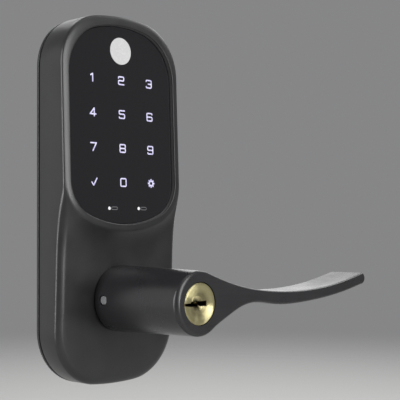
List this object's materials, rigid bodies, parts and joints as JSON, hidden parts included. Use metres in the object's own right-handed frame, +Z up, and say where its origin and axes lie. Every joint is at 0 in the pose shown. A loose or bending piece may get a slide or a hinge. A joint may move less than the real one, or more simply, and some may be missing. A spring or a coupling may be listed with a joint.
{
  "type": "keypad smart lock",
  "caption": "Electronic lever lock for a door's outside: an arched black escutcheon with a touch keypad under glass, and a long wave-shaped lever with a keyed brass cylinder in its hub.",
  "frame": {"origin": "on the lever's axis, on the door's face, midway between the two through bolts", "axes": "+Z up; +Y into the door, the way the through bolts come from; +X from the lever's axis towards its tip"},
  "size_m": [0.153, 0.113, 0.1694],
  "materials": {
    "black_casting": "satin black paint on die-cast zinc",
    "lever_casting": "satin black paint on die-cast zinc",
    "zinc_plate": "zinc-plated pressed steel",
    "steel": "turned steel",
    "spring_steel": "oiled spring wire",
    "black_screw": "black oxide steel",
    "plug_brass": "polished brass",
    "pin_brass": "turned brass",
    "keypad_glass": "clear glass over black print",
    "badge_white": "white moulded plastic",
    "legend_white": "lit white legends",
    "foam_tape": "black foam tape",
    "gasket_rubber": "black rubber",
    "milky_plastic": "milky light-guide plastic",
    "circuit_green": "solder mask on fibreglass",
    "chip_black": "moulded epoxy",
    "lamp_white": "lamp lens",
    "cover_plastic": "moulded plastic",
    "bearing_plastic": "moulded acetal"
  },
  "bodies": {
    "lock_body": {"housing": "black_casting", "back_plate": "zinc_plate", "rear_gasket": "gasket_rubber", "plate_screws": "black_screw", "through_posts": "steel", "cable_grommet": "gasket_rubber", "glass_panel": "keypad_glass", "badge_disc": "badge_white", "legend_lights": "legend_white", "indicator_lights": "legend_white", "glass_adhesive": "foam_tape", "light_diffuser": "milky_plastic", "touch_board": "circuit_green", "key_lamps": "lamp_white", "main_board": "circuit_green", "board_chips": "chip_black", "buzzer": "chip_black", "cable_header": "bearing_plastic", "board_screws": "steel", "board_cover": "cover_plastic", "rose_bushing": "bearing_plastic", "thrust_washer": "pin_brass", "spring_cage": "zinc_plate", "return_spring": "spring_steel", "lock_motor": "zinc_plate", "motor_carrier": "cover_plastic", "carrier_screws": "steel"},
    "lever": {"lever": "lever_casting", "lever_sleeve": "steel", "lock_ring": "steel", "snap_ring": "spring_steel", "spindle": "steel", "catch_block": "zinc_plate", "catch_spring": "spring_steel", "cylinder_shell": "pin_brass", "pin_cover": "pin_brass", "driver_pins": "pin_brass", "pin_springs": "spring_steel"},
    "key_plug": {"cylinder_plug": "plug_brass", "key_pins": "pin_brass", "tailpiece": "steel", "plug_cap": "pin_brass"},
    "catch": {"catch_pin": "steel"},
    "motor_rotor": {"motor_screw": "steel"},
    "lock_dog": {"lock_dog": "steel"}
  },
  "joints": [
    {"name": "lever_turn", "type": "hinge", "parent": "lock_body", "child": "lever", "pos_m": [0, 0, 0], "axis": [0, 1, 0], "range_deg": [-45, 45], "stiffness_Nm_per_rad": 1.5, "deforming": ["return_spring"]},
    {"name": "key_turn", "type": "hinge", "parent": "lever", "child": "key_plug", "pos_m": [0, 0, 0], "axis": [0, 1, 0], "range_deg": [-90, 90]},
    {"name": "catch_press", "type": "slide", "parent": "lever", "child": "catch", "axis": [1, 0, 0], "range_m": [0, 0.0018], "stiffness_N_per_m": 300, "springref_m": -0.0012, "deforming": ["catch_spring"]},
    {"name": "motor_turn", "type": "hinge", "parent": "lock_body", "child": "motor_rotor", "pos_m": [0, -0.0096, 0.03], "axis": [0, 0, 1], "range_deg": [0, 720]},
    {"name": "dog_slide", "type": "slide", "parent": "lock_body", "child": "lock_dog", "axis": [0, 0, -1], "range_m": [0, 0.0025]}
  ],
  "couplings": [
    {"joint": "motor_turn", "follows": "dog_slide", "rad_per_m": 5026.5}
  ]
}
